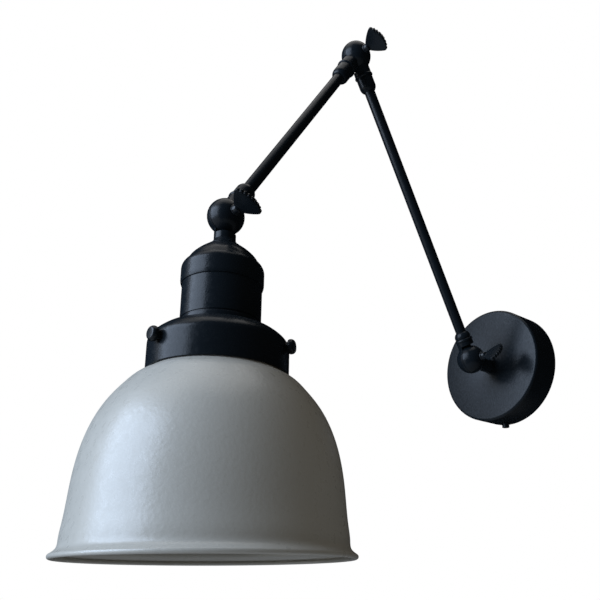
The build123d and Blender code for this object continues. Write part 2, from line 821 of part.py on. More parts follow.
# ---- All pieces ----
pieces = {
    "canopy": canopy(),
    "canopy_screw": canopy_screw(),
    "wall_bracket": wall_bracket(),
    "terminal_block": terminal_block(),
    "terminal_screws": terminal_screws(),
    "earth_screw": earth_screw(),
    "wall_knuckle": wall_knuckle(),
    "wall_nipple": wall_nipple(),
    "wall_nipple_washer": wall_nipple_washer(),
    "wall_nipple_nut": wall_nipple_nut(),
    "arm1_lower_knuckle": arm1_frame * arm_knuckle(-1, arm_neck),
    "arm1_lower_collar": arm1_frame * collar(arm_neck, wall_collar_length),
    "arm1_tube": arm1_frame * arm_tube(arm1_length),
    "arm1_upper_collar": arm1_top_frame * collar(arm_neck, arm_collar_length),
    "arm1_upper_knuckle": arm1_top_frame * arm_knuckle(1, arm_neck),
    "wing_screw_wall": Pos(*wall_pivot) * wing_screw(wing_turn_wall),
    "arm2_upper_knuckle": arm2_frame * arm_knuckle(-1, elbow_neck),
    "arm2_upper_collar": arm2_frame * collar(elbow_neck, elbow_collar_length),
    "arm2_tube": arm2_frame * arm_tube(arm2_length),
    "arm2_lower_collar": arm2_foot_frame * collar(arm_neck, arm_collar_length),
    "arm2_lower_knuckle": arm2_foot_frame * arm_knuckle(1, arm_neck),
    "wing_screw_elbow": Pos(*elbow_pivot) * wing_screw(wing_turn_elbow),
    "head_knuckle": head_knuckle(),
    "wing_screw_head": Pos(*head_pivot) * wing_screw(wing_turn_head),
    "stem_nut": stem_nut(),
    "socket_cap": socket_cap(),
    "socket_shell": socket_shell(),
    "socket_insert": socket_insert(),
    "screw_shell": screw_shell(),
    "centre_contact": centre_contact(),
    "socket_terminals": socket_terminals(),
    "holder_ring": holder_ring(),
    "shade_holder": shade_holder(),
    "shade": shade(),
}
for i, angle in enumerate(thumb_angles):
    pieces[f"thumb_screw_{i + 1}"] = thumb_screw(angle)

os.makedirs("parts", exist_ok=True)
for name, piece in pieces.items():
    export_step(piece, f"parts/{name}.step")
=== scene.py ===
"""Folding-arm wall lamp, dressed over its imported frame: painted and turned surfaces, and a stage.

Metres throughout, in the frame's axes: the wall is the plane y = 0, the room lies along -Y, and +Z
is up. Profiles are written in millimetres, measured from the joint that carries the piece.
"""

import json
import math

import bpy
import numpy as np
from bpy.props import FloatProperty, FloatVectorProperty, IntProperty, PointerProperty
from mathutils import Matrix, Vector


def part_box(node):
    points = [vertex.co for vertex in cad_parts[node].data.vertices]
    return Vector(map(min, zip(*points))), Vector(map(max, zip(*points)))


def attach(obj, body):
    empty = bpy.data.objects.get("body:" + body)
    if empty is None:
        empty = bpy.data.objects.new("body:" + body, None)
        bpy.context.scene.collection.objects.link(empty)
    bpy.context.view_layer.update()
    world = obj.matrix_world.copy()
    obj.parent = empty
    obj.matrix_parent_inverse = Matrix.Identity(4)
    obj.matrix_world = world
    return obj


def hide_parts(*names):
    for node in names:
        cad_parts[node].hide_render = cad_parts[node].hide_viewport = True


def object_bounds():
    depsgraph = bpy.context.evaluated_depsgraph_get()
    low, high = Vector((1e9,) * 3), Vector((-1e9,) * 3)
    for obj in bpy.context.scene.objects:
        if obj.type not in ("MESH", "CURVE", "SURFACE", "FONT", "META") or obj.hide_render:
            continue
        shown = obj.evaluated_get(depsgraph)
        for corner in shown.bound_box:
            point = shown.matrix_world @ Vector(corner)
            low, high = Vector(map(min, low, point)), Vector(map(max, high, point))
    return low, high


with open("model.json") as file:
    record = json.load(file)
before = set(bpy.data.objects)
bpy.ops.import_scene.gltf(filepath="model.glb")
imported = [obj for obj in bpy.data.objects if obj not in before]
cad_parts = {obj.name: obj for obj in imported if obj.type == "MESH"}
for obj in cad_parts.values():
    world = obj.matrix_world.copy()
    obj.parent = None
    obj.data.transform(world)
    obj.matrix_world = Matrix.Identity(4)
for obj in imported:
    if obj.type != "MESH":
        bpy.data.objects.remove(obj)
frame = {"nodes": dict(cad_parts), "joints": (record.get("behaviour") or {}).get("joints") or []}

bl_info = {
    "name": "Folding-arm wall lamp",
    "version": (1, 0, 0),
    "blender": (4, 5, 0),
    "location": "3D View > Sidebar > Wall lamp",
    "description": "Builds the finished surfaces of a folding-arm wall lamp with a spun shade",
    "category": "Add Mesh",
}

MM = 0.001
FIT = 0.05  # gap in millimetres between pieces that slide into each other
AXIS = 0.01  # radius in millimetres at which a lathe ends, so that its rows stay apart on the axis
SKIRT_STEP = 1.2  # how much narrower the skirt's stub in the shade holder is, in millimetres
FRAME_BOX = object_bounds()
JOINTS = {joint["name"]: joint for joint in frame["joints"]}
WALL_PIVOT = Vector(JOINTS["wall_tilt"]["pos_m"])
ELBOW_PIVOT = Vector(JOINTS["elbow"]["pos_m"])
HEAD_PIVOT = Vector(JOINTS["head_tilt"]["pos_m"])


def linear(code):
    """Linear RGB of an sRGB code: c / 12.92 below 0.04045, ((c + 0.055) / 1.055) ^ 2.4 above."""
    value = np.array([int(code[i : i + 2], 16) for i in (1, 3, 5)]) / 255
    low, high = value / 12.92, ((value + 0.055) / 1.055) ** 2.4
    return tuple(float(v) for v in np.where(value < 0.04045, low, high))


# ---- Settings ----
def number(name, description, value, **more):
    return FloatProperty(name=name, description=description, default=value, **more)


def length(name, description, millimetres):
    return number(name, description, millimetres * MM, min=0.0, unit="LENGTH", precision=5)


def colour(name, description, code):
    return FloatVectorProperty(
        name=name,
        description=description,
        default=linear(code),
        subtype="COLOR",
        size=3,
        min=0.0,
        max=1.0,
    )


def angle(name, description, degrees):
    return number(name, description, math.radians(degrees), subtype="ANGLE")


class LampFinish(bpy.types.PropertyGroup):
    black: colour("Black coat", "Powder coat of canopy, arms and lamp holder", "#14191D")
    shade: colour("Shade paint", "Satin lacquer of the shade", "#AFABA1")
    zinc: colour("Zinc", "Plated nuts, nipple and bracket", "#A7A9AB")
    brass: colour("Brass", "Contacts and thread shell", "#C9A765")
    porcelain: colour("Porcelain", "Glazed body inside the lamp holder", "#E8E4DA")
    nylon: colour("Polyamide", "Moulded terminal block", "#D9D8D2")


class LampCanopy(bpy.types.PropertyGroup):
    wall: length("Wall", "Thickness of the drawn sheet", 1.2)
    edge: length("Edge", "Outer radius of the bend round the face", 2.0)
    bore: length("Bore", "Radius of the hole for the nipple", 5.08)


class LampShade(bpy.types.PropertyGroup):
    wall: length("Wall", "Thickness of the spun sheet", 1.0)
    neck: length("Neck radius", "Outer radius inside the holder", 35.6)
    rim: length("Rim radius", "Outermost radius of the rolled rim", 77.0)
    rim_at: length("Rim height", "Middle of the rolled rim below the head joint", 196.0)
    bead: length("Bead radius", "Radius of the rolled bead", 1.4)
    flare: angle("Flare", "Slope of the sheet where it runs into the bead, off the lamp's axis", 55)


class LampHolder(bpy.types.PropertyGroup):
    cap_wall: length("Cap wall", "Thickness of the domed cap", 0.95)
    band_at: length("Band", "Where the cap's band is full, below the head joint", 36.6)
    band_bulge: length("Band bulge", "Roundness of the band's shoulder", 0.75)
    cap_bottom: length("Cap bottom", "Lower edge of the cap's band, below the head joint", 45.6)
    shell: length("Shell radius", "Radius of the straight skirt", 22.6)
    top: length("Holder top", "Shade holder's top below the head joint", 71.5)
    depth: length("Holder depth", "Height of the shade holder", 27.2)
    wall: length("Holder wall", "Thickness of the shade holder", 1.2)
    thread: length("Thread radius", "Inner radius of the lamp thread", 13.35)
    pitch: length("Thread pitch", "Rise of one turn of the lamp thread", 3.63)


class LampArms(bpy.types.PropertyGroup):
    tube: length("Tube radius", "Outer radius of the arm tubes", 4.0)
    ball: length("Ball radius", "Radius of the swivel balls", 11.0)
    neck: length("Neck radius", "Radius of the necks and collars", 6.4)
    split: length("Split", "Gap between the two half balls", 0.2)
    shoulder: length("Shoulder", "Where the neck is whole, from the ball's middle", 11.73)
    seat: length("Seat", "Flat under the wing screw, from the ball's middle", 10.3)
    fillet: length("Fillet", "Radius of the cast corner between ball and neck", 1.5)
    arm_neck: length("Arm neck", "Joint to the end of an arm's neck", 15.0)
    elbow_neck: length("Elbow neck", "The same on top of the second arm", 18.5)
    head_neck: length("Head neck", "Joint to the end of the lamp holder's neck", 16.0)
    wall_collar: length("Wall collar", "Length of the collar at the wall", 7.4)
    arm_collar: length("Arm collar", "Length of the collars by the other balls", 13.0)
    elbow_collar: length("Elbow collar", "Length of the collar on top of the second arm", 15.5)
    barrel: length("Barrel", "Radius of a collar between its groove and its bell", 6.2)
    bead_width: length("Bead width", "Length of a collar's bead", 2.2)
    bead_proud: length("Bead height", "How far a collar's bead stands out", 0.55)
    groove_width: length("Groove width", "Length of a collar's groove", 0.7)
    groove_depth: length("Groove depth", "How deep a collar's groove is", 0.5)
    bell: length("Bell", "Length of a collar's bell", 3.7)
    bell_bulge: length("Bell bulge", "How far the bell stands out over a straight cone", 0.43)
    tip: length("Tip", "Wall at the thin end of the bell", 0.45)


class LampWings(bpy.types.PropertyGroup):
    radius: length("Fan radius", "Radius of the fan's notched edge", 14.8)
    half: angle("Half angle", "Half of the fan's angle", 43.5)
    waist: length("Waist", "How far the flanks curve in", 0.6)
    corner: length("Corner", "Radius of the fan's outer corners", 1.8)
    notch: length("Notch", "Depth of the notches", 0.6)
    notch_radius: length("Notch radius", "Radius of the notches", 0.95)
    apex: length("Apex", "Centre of the fan's arc, out from the seat", 3.5)
    thickness: length("Thickness", "Thickness of the blade", 2.4)
    teeth: IntProperty(
        name="Teeth", description="Teeth on the fan's edge", default=9, min=3, max=20
    )
    wall_turn: angle("Wall turn", "Blade's direction at the wall", 50)
    elbow_turn: angle("Elbow turn", "Blade's direction at the elbow", 153)
    head_turn: angle("Head turn", "Blade's direction at the head", 153)


class LampStage(bpy.types.PropertyGroup):
    drop: length("Floor drop", "Floor below the lowest point of the shade", 1100.0)
    floor: length("Floor", "Half the floor's side", 1500.0)
    window: number("Window", "Power of the window light", 38.0, min=0.0, unit="POWER")
    ceiling: number("Ceiling", "Power of the ceiling light", 2.5, min=0.0, unit="POWER")
    room: number("Room", "Brightness of the room's own light", 0.165, min=0.0)
    drape: length("Drape", "Distance of the dark drape that only reflections see", 2200.0)


class LampCamera(bpy.types.PropertyGroup):
    place: FloatVectorProperty(
        name="Place",
        description="Camera position",
        default=(0.32843, -0.46127, -0.17129),
        subtype="TRANSLATION",
    )
    yaw: number("Yaw", "Turn from +Y towards -X", 0.83555, subtype="ANGLE")
    pitch: number("Pitch", "Upward tilt", 0.28211, subtype="ANGLE")
    roll: number("Roll", "Turn about the view", -0.00881, subtype="ANGLE")
    lens: number("Lens", "Focal length in millimetres", 42.23, min=1.0)
    shift: FloatVectorProperty(
        name="Shift", description="Lens shift", size=2, default=(-0.0998, 0.142)
    )


# ---- Outlines, in millimetres ----
def spline(points, count, start=None, end=None):
    """Cubic curve through the points, by distance along them; slopes at the ends may be given.

    The second derivatives M solve the usual three-term equations, and each span is
    M0 (t1 - t)^3 / 6h + M1 (t - t0)^3 / 6h plus the straight part that meets both points.
    """
    points = np.asarray(points, float)
    t = np.concatenate([[0], np.cumsum(np.linalg.norm(np.diff(points, axis=0), axis=1))])
    h, slope = np.diff(t), np.diff(points, axis=0) / np.diff(t)[:, None]
    n = len(points)
    matrix, right = np.eye(n), np.zeros((n, 2))
    inner = np.arange(1, n - 1)
    matrix[inner, inner - 1], matrix[inner, inner + 1] = h[:-1], h[1:]
    matrix[inner, inner] = 2 * (h[:-1] + h[1:])
    right[1:-1] = 6 * np.diff(slope, axis=0)
    if start is not None:
        matrix[0, :2], right[0] = (2 * h[0], h[0]), 6 * (slope[0] - unit(start))
    if end is not None:
        matrix[-1, -2:], right[-1] = (h[-1], 2 * h[-1]), 6 * (unit(end) - slope[-1])
    m = np.linalg.solve(matrix, right)
    s = np.linspace(0, t[-1], count)
    i = np.clip(np.searchsorted(t, s, side="right") - 1, 0, n - 2)
    a, b, w = (t[i + 1] - s)[:, None], (s - t[i])[:, None], h[i][:, None]
    curve = (m[i] * a**3 + m[i + 1] * b**3) / (6 * w)
    return curve + (points[i] / w - m[i] * w / 6) * a + (points[i + 1] / w - m[i + 1] * w / 6) * b


def unit(vector):
    vector = np.asarray(vector, float)
    return vector / np.linalg.norm(vector)


def offset(curve, distance):
    """The curve moved to its left by the distance, at right angles to its own direction."""
    along = np.gradient(np.asarray(curve, float), axis=0)
    along /= np.linalg.norm(along, axis=1)[:, None]
    return curve + distance * np.stack([-along[:, 1], along[:, 0]], axis=1)


def rounded(corners, steps=5):
    """Closed outline from (x, y, reach) corners, each rounded by a parabola between two points.

    They lie on the corner's two sides, as far from it as its reach, but within 0.45 of either side.
    """
    corners = np.asarray(corners, float)
    p, reach = corners[:, :2], corners[:, 2:]
    back, ahead = np.roll(p, 1, axis=0) - p, np.roll(p, -1, axis=0) - p
    back_size, ahead_size = (np.linalg.norm(v, axis=1)[:, None] for v in (back, ahead))
    reach = np.minimum(reach, 0.45 * np.minimum(back_size, ahead_size))
    first, last = p + back / back_size * reach, p + ahead / ahead_size * reach
    s = np.linspace(0, 1, steps)[None, :, None]
    arcs = (1 - s) ** 2 * first[:, None] + 2 * s * (1 - s) * p[:, None] + s**2 * last[:, None]
    return clean(arcs.reshape(-1, 2))


def clean(outline):
    """Drops points that repeat the one before."""
    return outline[np.linalg.norm(outline - np.roll(outline, 1, axis=0), axis=1) > 1e-4]


def plain(points):
    """Points as corners with no rounding, so that they can stand among rounded ones."""
    points = np.asarray(points, float)
    return np.column_stack([points, np.zeros(len(points))])


def arc(centre, radius, start, end, count):
    """Points of a circle between two angles in degrees."""
    turn = np.radians(np.linspace(start, end, count))
    return np.stack([centre[0] + radius * np.cos(turn), centre[1] + radius * np.sin(turn)], axis=1)


def bulged(first, last, sagitta, count):
    """Points of the circle through two ends that stands out to the right of their chord.

    Its radius is (c^2 / 4 + s^2) / 2s, with c the chord and s the sagitta, by which it stands out.
    """
    first, last = np.asarray(first, float), np.asarray(last, float)
    chord = last - first
    size = np.linalg.norm(chord)
    right = np.array([chord[1], -chord[0]]) / size
    radius = (size**2 / 4 + sagitta**2) / (2 * sagitta)
    along = np.linspace(-size / 2, size / 2, count)
    out = np.sqrt(radius**2 - along**2) * np.sign(radius) - (radius - sagitta)
    return (first + last) / 2 + along[:, None] * chord / size + out[:, None] * right


# ---- Surfaces ----
def laid(origin, direction):
    """Frame at a point whose +Z runs along a direction in the YZ plane and whose +X stays."""
    turn = math.atan2(-direction[1], direction[2])
    return Matrix.Translation(origin) @ Matrix.Rotation(turn, 4, "X")


def placed(points, matrix):
    """Points in millimetres, any array of (..., 3), laid in a frame in metres."""
    m = np.array(matrix)
    return points * MM @ m[:3, :3].T + m[:3, 3]


def lathe(outline, sides):
    """Outline of (radius, height) turned about Z, with a row for each of its points."""
    a = np.linspace(0, 2 * math.pi, sides, endpoint=False)
    r, h = outline[:, :1], outline[:, 1:]
    return np.stack([r * np.cos(a), r * np.sin(a), h + 0 * a], axis=-1)


def crosswise(grid):
    """A grid turned about Z laid along X instead: (x, y, z) becomes (z, y, -x)."""
    return np.stack([grid[..., 2], grid[..., 1], -grid[..., 0]], axis=-1)


def faces_of(grid, loop, first):
    """Faces of a grid whose columns close; its rows close with loop, and are capped without it."""
    rows, columns = grid.shape[:2]
    i, j = np.meshgrid(np.arange(rows if loop else rows - 1), np.arange(columns), indexing="ij")
    k, l = (i + 1) % rows, (j + 1) % columns
    quads = np.stack([i * columns + j, i * columns + l, k * columns + l, k * columns + j], axis=-1)
    quads = quads.reshape(-1, 4)
    ends = [] if loop else [np.arange(columns)[::-1], np.arange(columns) + (rows - 1) * columns]
    a, b, c, d = (grid.reshape(-1, 3)[quads[:, n]] for n in range(4))
    middle = grid.reshape(-1, 3).mean(axis=0)
    size = np.einsum("ij,ij->i", (a + b + c + d) / 4 - middle, np.cross(c - a, d - b)).sum()
    if size < 0:
        quads, ends = quads[:, ::-1], [end[::-1] for end in ends]
    return [(quad + first).tolist() for quad in quads] + [(end + first).tolist() for end in ends]


def mesh_object(name, points, faces, material):
    """A new object of the scene from its points in metres, its faces and its material."""
    mesh = bpy.data.meshes.new(name)
    mesh.from_pydata(points, [], faces)
    mesh.materials.append(material)
    obj = bpy.data.objects.new(name, mesh)
    bpy.context.scene.collection.objects.link(obj)
    return obj


def piece(name, parts, body, slot, replaced=(), crease=40):
    """One object from (grid, loop) parts in metres, with edges over the crease in degrees sharp."""
    faces, first = [], 0
    for grid, loop in parts:
        faces += faces_of(grid, loop, first)
        first += grid.shape[0] * grid.shape[1]
    points = np.concatenate([grid.reshape(-1, 3) for grid, _ in parts])
    obj = mesh_object(name, points, faces, FINISHES[slot]())
    obj.data.shade_smooth()
    obj.data.set_sharp_from_angle(angle=math.radians(crease))
    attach(obj, body)
    if replaced:
        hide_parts(*replaced)


def spun(name, outline, sides, where, body, slot, node):
    """One lathed piece in place of a node of the frame."""
    piece(name, [(placed(lathe(outline, sides), where), True)], body, slot, [node])


# ---- Materials ----
def add(tree, kind, inputs=(), **settings):
    """Adds a node, sets its properties, and sets or links its inputs by name or number."""
    node = tree.nodes.new(kind)
    for key, value in settings.items():
        setattr(node, key, value)
    for key, value in dict(inputs).items():
        if isinstance(value, bpy.types.NodeSocket):
            tree.links.new(value, node.inputs[key])
        else:
            node.inputs[key].default_value = value
    return node


def new_material(name):
    material = bpy.data.materials.get(name)
    if material:
        return material, None
    material = bpy.data.materials.new(name)
    material.use_nodes = True
    material.node_tree.nodes.clear()
    return material, material.node_tree


def per_mm(size):
    """Noise scale, in cells per metre, for a grain of this size in millimetres."""
    return 1 / (size * MM)


def shaded(base, factor):
    return tuple(min(1.0, c * factor) for c in base) + (1.0,)


def mottled(tree, size, detail, dark, light):
    """Object coordinates, noise of a size in millimetres, and a colour that follows the noise."""
    place = add(tree, "ShaderNodeTexCoord").outputs["Object"]
    noise = {"Vector": place, "Scale": per_mm(size), "Detail": detail}
    noise = add(tree, "ShaderNodeTexNoise", noise).outputs["Fac"]
    tint = add(tree, "ShaderNodeMix", {0: noise, 6: dark, 7: light}, data_type="RGBA")
    return place, noise, tint.outputs[2]


def roughness(tree, noise, low, high):
    """Roughness that runs from low to high between two values of the noise."""
    calm, busy = 0.3, 0.7
    return add(tree, "ShaderNodeMapRange", {0: noise, 1: calm, 2: busy, 3: low, 4: high}).outputs[0]


def surface(tree, kind, inputs):
    """Shader of a kind, linked to the material's output."""
    shader = add(tree, kind, inputs)
    add(tree, "ShaderNodeOutputMaterial", {"Surface": shader.outputs[0]})


def coat(name, base, spread, rough, grain, bump, specular=0.5, clear=0.0):
    """Sprayed finish: colour drifts over centimetres and roughness over millimetres.

    Its orange-peel relief is as wide as the grain and as high as the bump, both in millimetres.
    """
    drift, speck_per_grain = 38, 2.3
    material, tree = new_material(name)
    if tree is None:
        return material
    place, _, tint = mottled(tree, drift, 3.0, shaded(base, 1 - spread), shaded(base, 1 + spread))
    speck_scale = per_mm(grain * speck_per_grain)
    speck = add(tree, "ShaderNodeTexNoise", {"Vector": place, "Scale": speck_scale, "Detail": 4.0})
    peel = {"Vector": place, "Scale": per_mm(grain), "Detail": 2.0, "Roughness": 0.45}
    peel = add(tree, "ShaderNodeTexNoise", peel)
    relief = {"Height": peel.outputs["Fac"], "Strength": 1.0, "Distance": bump * MM}
    relief = add(tree, "ShaderNodeBump", relief)
    inputs = {
        "Base Color": tint,
        "Roughness": roughness(tree, speck.outputs["Fac"], rough - 0.05, rough + 0.07),
        "Specular IOR Level": specular,
        "Coat Weight": clear,
        "Coat Roughness": 0.25,
        "Normal": relief.outputs[0],
    }
    surface(tree, "ShaderNodeBsdfPrincipled", inputs)
    return material


def powder_coat():
    """Fine-textured black polyester powder coat: a soft broken highlight, no mirror."""
    black = bpy.context.scene.lamp_finish.black
    look = {"spread": 0.12, "rough": 0.25, "grain": 1.1, "bump": 0.05, "specular": 0.13}
    return coat("powder_coat_black", black, **look)


def black_screw_paint():
    """Black lacquer over turned brass: a little smoother than the powder coat."""
    black = bpy.context.scene.lamp_finish.black
    look = {"spread": 0.1, "rough": 0.24, "grain": 0.8, "bump": 0.02, "specular": 0.18}
    return coat("screw_lacquer_black", black, **look)


def shade_lacquer():
    """Warm grey satin lacquer on spun steel: broad sheen with a faint orange peel."""
    grey = bpy.context.scene.lamp_finish.shade
    look = {"spread": 0.03, "rough": 0.3, "grain": 1.9, "bump": 0.08, "specular": 0.4}
    return coat("shade_lacquer", grey, **look)


def porcelain_glaze():
    """Cream electrical porcelain under a glossy glaze."""
    cream = bpy.context.scene.lamp_finish.porcelain
    look = {"spread": 0.03, "rough": 0.16, "grain": 4.0, "bump": 0.02, "specular": 0.55}
    return coat("porcelain_glaze", cream, **look, clear=0.4)


def moulded_polyamide():
    """Natural white polyamide with a dull moulded skin."""
    white = bpy.context.scene.lamp_finish.nylon
    return coat("moulded_polyamide", white, spread=0.03, rough=0.55, grain=0.9, bump=0.02)


def metal(name, base, rough, grain):
    """Bare or plated metal: full metallic, roughness and colour broken by fine mottling."""
    material, tree = new_material(name)
    if tree is None:
        return material
    _, noise, tint = mottled(tree, grain, 5.0, shaded(base, 0.86), shaded(base, 1.08))
    rough = roughness(tree, noise, rough - 0.08, rough + 0.1)
    inputs = {"Base Color": tint, "Metallic": 1.0, "Roughness": rough}
    surface(tree, "ShaderNodeBsdfPrincipled", inputs)
    return material


def zinc_plate():
    """Bright zinc plating on steel: pale, slightly blotched."""
    return metal("zinc_plate", bpy.context.scene.lamp_finish.zinc, rough=0.38, grain=2.2)


def rolled_brass():
    """Rolled brass, lightly dulled."""
    return metal("rolled_brass", bpy.context.scene.lamp_finish.brass, rough=0.3, grain=3.0)


FINISHES = {
    "black_metal": powder_coat,
    "blackened_screws": black_screw_paint,
    "shade_paint": shade_lacquer,
    "brass_parts": rolled_brass,
}


def dress(material, *names):
    """Gives kept nodes of the frame their finish."""
    for name in names:
        slots = frame["nodes"][name].data.materials
        slots.clear()
        slots.append(material)


# ---- Pieces ----
ARM1 = ELBOW_PIVOT - WALL_PIVOT
ARM2 = HEAD_PIVOT - ELBOW_PIVOT
DOWN = Vector((0, 0, -1))
OFF_WALL = laid((0, 0, 0), (0, -1, 0))
HEAD = laid(HEAD_PIVOT, DOWN)


class LAMP_OT_canopy(bpy.types.Operator):
    """Drawn cup against the wall, with a softly rounded front edge"""

    bl_idname = "lamp.canopy"
    bl_label = "Canopy"

    def execute(self, context):
        box, cup = np.array(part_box("canopy")) / MM, context.scene.lamp_canopy
        radius, depth = box[1][0], -box[0][1]
        wall, edge, bore = cup.wall / MM, cup.edge / MM, cup.bore / MM
        outer = arc((radius - edge, depth - edge), edge, 0, 90, 14)
        inner = arc((radius - edge, depth - edge), edge - wall, 90, 0, 10)
        outline = rounded(
            np.vstack([
                [(radius, 0, 0.25)],
                plain(outer),
                [(bore, depth, 0.15), (bore, depth - wall, 0.15)],
                plain(inner),
                [(radius - wall, 0, 0.25)],
            ])
        )
        spun("canopy_cup", outline, 160, OFF_WALL, "wall_base", "black_metal", "canopy")
        return {"FINISHED"}


class LAMP_OT_fixings(bpy.types.Operator):
    """Finishes of the parts that the canopy and the lamp holder hide"""

    bl_idname = "lamp.fixings"
    bl_label = "Fixings"

    def execute(self, context):
        dress(zinc_plate(), "wall_bracket", "wall_nipple", "wall_nipple_washer", "wall_nipple_nut")
        dress(zinc_plate(), "stem_nut", "earth_screw")
        dress(rolled_brass(), "terminal_screws", "centre_contact", "socket_terminals")
        dress(porcelain_glaze(), "socket_insert")
        dress(moulded_polyamide(), "terminal_block")
        dress(powder_coat(), "holder_ring")
        dress(black_screw_paint(), "canopy_screw")
        return {"FINISHED"}


def ball_and_neck(side, neck_end, arms):
    """Half ball and neck along +Z, as closed parts in millimetres.

    The ball is a lathe about X of a quarter-circle section, cut flat at the split and at the seat.
    The near neck is a D-shaped section swept up Z whose radius r follows the fillet: with N the
    neck's radius, F the fillet's and (N + F, h) the middle of its circle,
    r = N + F - sqrt(F^2 - (h - z)^2).
    Beyond the shoulder the neck is whole, and a lathe.
    """
    ball, neck, fillet = arms.ball / MM, arms.neck / MM, arms.fillet / MM
    face, seat, shoulder = arms.split / MM / 2, arms.seat / MM, arms.shoulder / MM
    screw_bore, end_wall, soft = 2.08, 1.6, [0, 0, 0.2]
    start = math.degrees(math.asin(face / ball))
    if side > 0:
        skin = plain(arc((0, 0), ball, start, math.degrees(math.asin(seat / ball)), 30))
        skin[-1] += soft
        inside = [(screw_bore, seat, 0.1)]
    else:
        skin = plain(arc((0, 0), ball, start, 89.6, 34))
        inside = [(2 * AXIS, ball - end_wall, 0), (screw_bore, ball - end_wall, 0)]
    skin[0] += soft
    half = crosswise(lathe(rounded(np.vstack([[(screw_bore, face, 0)], skin, inside])), 72))
    half[..., 0] *= side
    into_ball, into_neck, hidden_bore = 0.9, 0.5, 3.2
    centre = math.sqrt((ball + fillet) ** 2 - (neck + fillet) ** 2)
    touch = centre * ball / (ball + fillet)
    z = np.concatenate([[touch - into_ball], np.linspace(touch, centre, 9), [shoulder + into_neck]])
    lift = np.clip(centre - z, 0, fillet * math.sin(math.acos((neck + fillet) / (ball + fillet))))
    radius = neck + fillet - np.sqrt(fillet**2 - lift**2)
    flat = np.arcsin(np.clip(face / radius, 0, 1))[:, None]
    sweep = flat + (math.pi - 2 * flat) * np.linspace(0, 1, 40) - math.pi / 2
    radius, z = radius[:, None], z[:, None] + 0 * sweep
    near = np.stack([side * radius * np.cos(sweep), radius * np.sin(sweep), z], axis=-1)
    near[..., 0] = np.where(np.abs(near[..., 0]) < face, side * face, near[..., 0])
    whole = [(hidden_bore, shoulder, 0), (neck, shoulder, 0.35)]
    whole += [(neck, neck_end, 0.12), (hidden_bore, neck_end, 0)]
    return [(half, True), (near, False), (lathe(rounded(whole), 72), True)]


class LAMP_OT_knuckles(bpy.types.Operator):
    """Cast half balls and their necks at the wall, the elbow and the head"""

    bl_idname = "lamp.knuckles"
    bl_label = "Swivel knuckles"

    def execute(self, context):
        arms = context.scene.lamp_arms
        canopy_face, clearance = -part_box("canopy")[0][1], 0.1
        wall_neck = (-WALL_PIVOT[1] - canopy_face) / MM - clearance
        arm_neck, elbow_neck = arms.arm_neck / MM, arms.elbow_neck / MM
        head_neck = arms.head_neck / MM
        places = [
            ("wall_knuckle", 1, wall_neck, WALL_PIVOT, Vector((0, 1, 0)), "wall_link"),
            ("arm1_lower_knuckle", -1, arm_neck, WALL_PIVOT, ARM1, "arm1"),
            ("arm1_upper_knuckle", 1, arm_neck, ELBOW_PIVOT, -ARM1, "arm1"),
            ("arm2_upper_knuckle", -1, elbow_neck, ELBOW_PIVOT, ARM2, "arm2"),
            ("arm2_lower_knuckle", 1, arm_neck, HEAD_PIVOT, -ARM2, "arm2"),
            ("head_knuckle", -1, head_neck, HEAD_PIVOT, DOWN, "head"),
        ]
        for node, side, neck_end, pivot, direction, body in places:
            where = laid(pivot, direction)
            parts = ball_and_neck(side, neck_end, arms)
            parts = [(placed(grid, where), loop) for grid, loop in parts]
            piece(node + "_cast", parts, body, "black_metal", [node])
        return {"FINISHED"}


class LAMP_OT_arms(bpy.types.Operator):
    """Drawn tubes with a turned, grooved and beaded collar at each end"""

    bl_idname = "lamp.arms"
    bl_label = "Arm tubes and collars"

    def collar(self, arms, start, size):
        """Outline from the neck out: half-round bead, groove, barrel, then the bell."""
        neck, tube, barrel = arms.neck / MM, arms.tube / MM, arms.barrel / MM
        bore, end = tube + FIT, start + size
        groove = start + arms.bead_width / MM
        groove_end = groove + arms.groove_width / MM
        low = neck - arms.groove_depth / MM
        bead = bulged((neck, start), (neck, groove), arms.bead_proud / MM, 12)
        bell_foot, bell_tip = (barrel, end - arms.bell / MM), (tube + arms.tip / MM, end)
        bell = bulged(bell_foot, bell_tip, arms.bell_bulge / MM, 16)
        return rounded(
            np.vstack([
                [(bore, end, 0), (bore, start, 0)],
                plain(bead),
                [(low, groove, 0.1), (low, groove_end, 0.1), (barrel, groove_end, 0.15)],
                plain(bell),
            ])
        )

    def execute(self, context):
        arms = context.scene.lamp_arms
        tube, hidden_wall, past_shoulder = arms.tube / MM, 1, 0.9
        start, inside = arms.shoulder / MM + past_shoulder, tube - hidden_wall
        for arm, pivot, way in (("arm1", WALL_PIVOT, ARM1), ("arm2", ELBOW_PIVOT, ARM2)):
            end = way.length / MM - start
            wall = [(inside, start, 0), (tube, start, 0.1), (tube, end, 0.1), (inside, end, 0)]
            outline, where = rounded(wall), laid(pivot, way)
            spun(arm + "_drawn_tube", outline, 48, where, arm, "black_metal", arm + "_tube")
        ends = [
            ("arm1_lower_collar", WALL_PIVOT, ARM1, "arm1", arms.arm_neck, arms.wall_collar),
            ("arm1_upper_collar", ELBOW_PIVOT, -ARM1, "arm1", arms.arm_neck, arms.arm_collar),
            ("arm2_upper_collar", ELBOW_PIVOT, ARM2, "arm2", arms.elbow_neck, arms.elbow_collar),
            ("arm2_lower_collar", HEAD_PIVOT, -ARM2, "arm2", arms.arm_neck, arms.arm_collar),
        ]
        for node, pivot, way, body, start, size in ends:
            outline = self.collar(arms, start / MM, size / MM)
            spun(node + "_turned", outline, 64, laid(pivot, way), body, "black_metal", node)
        return {"FINISHED"}


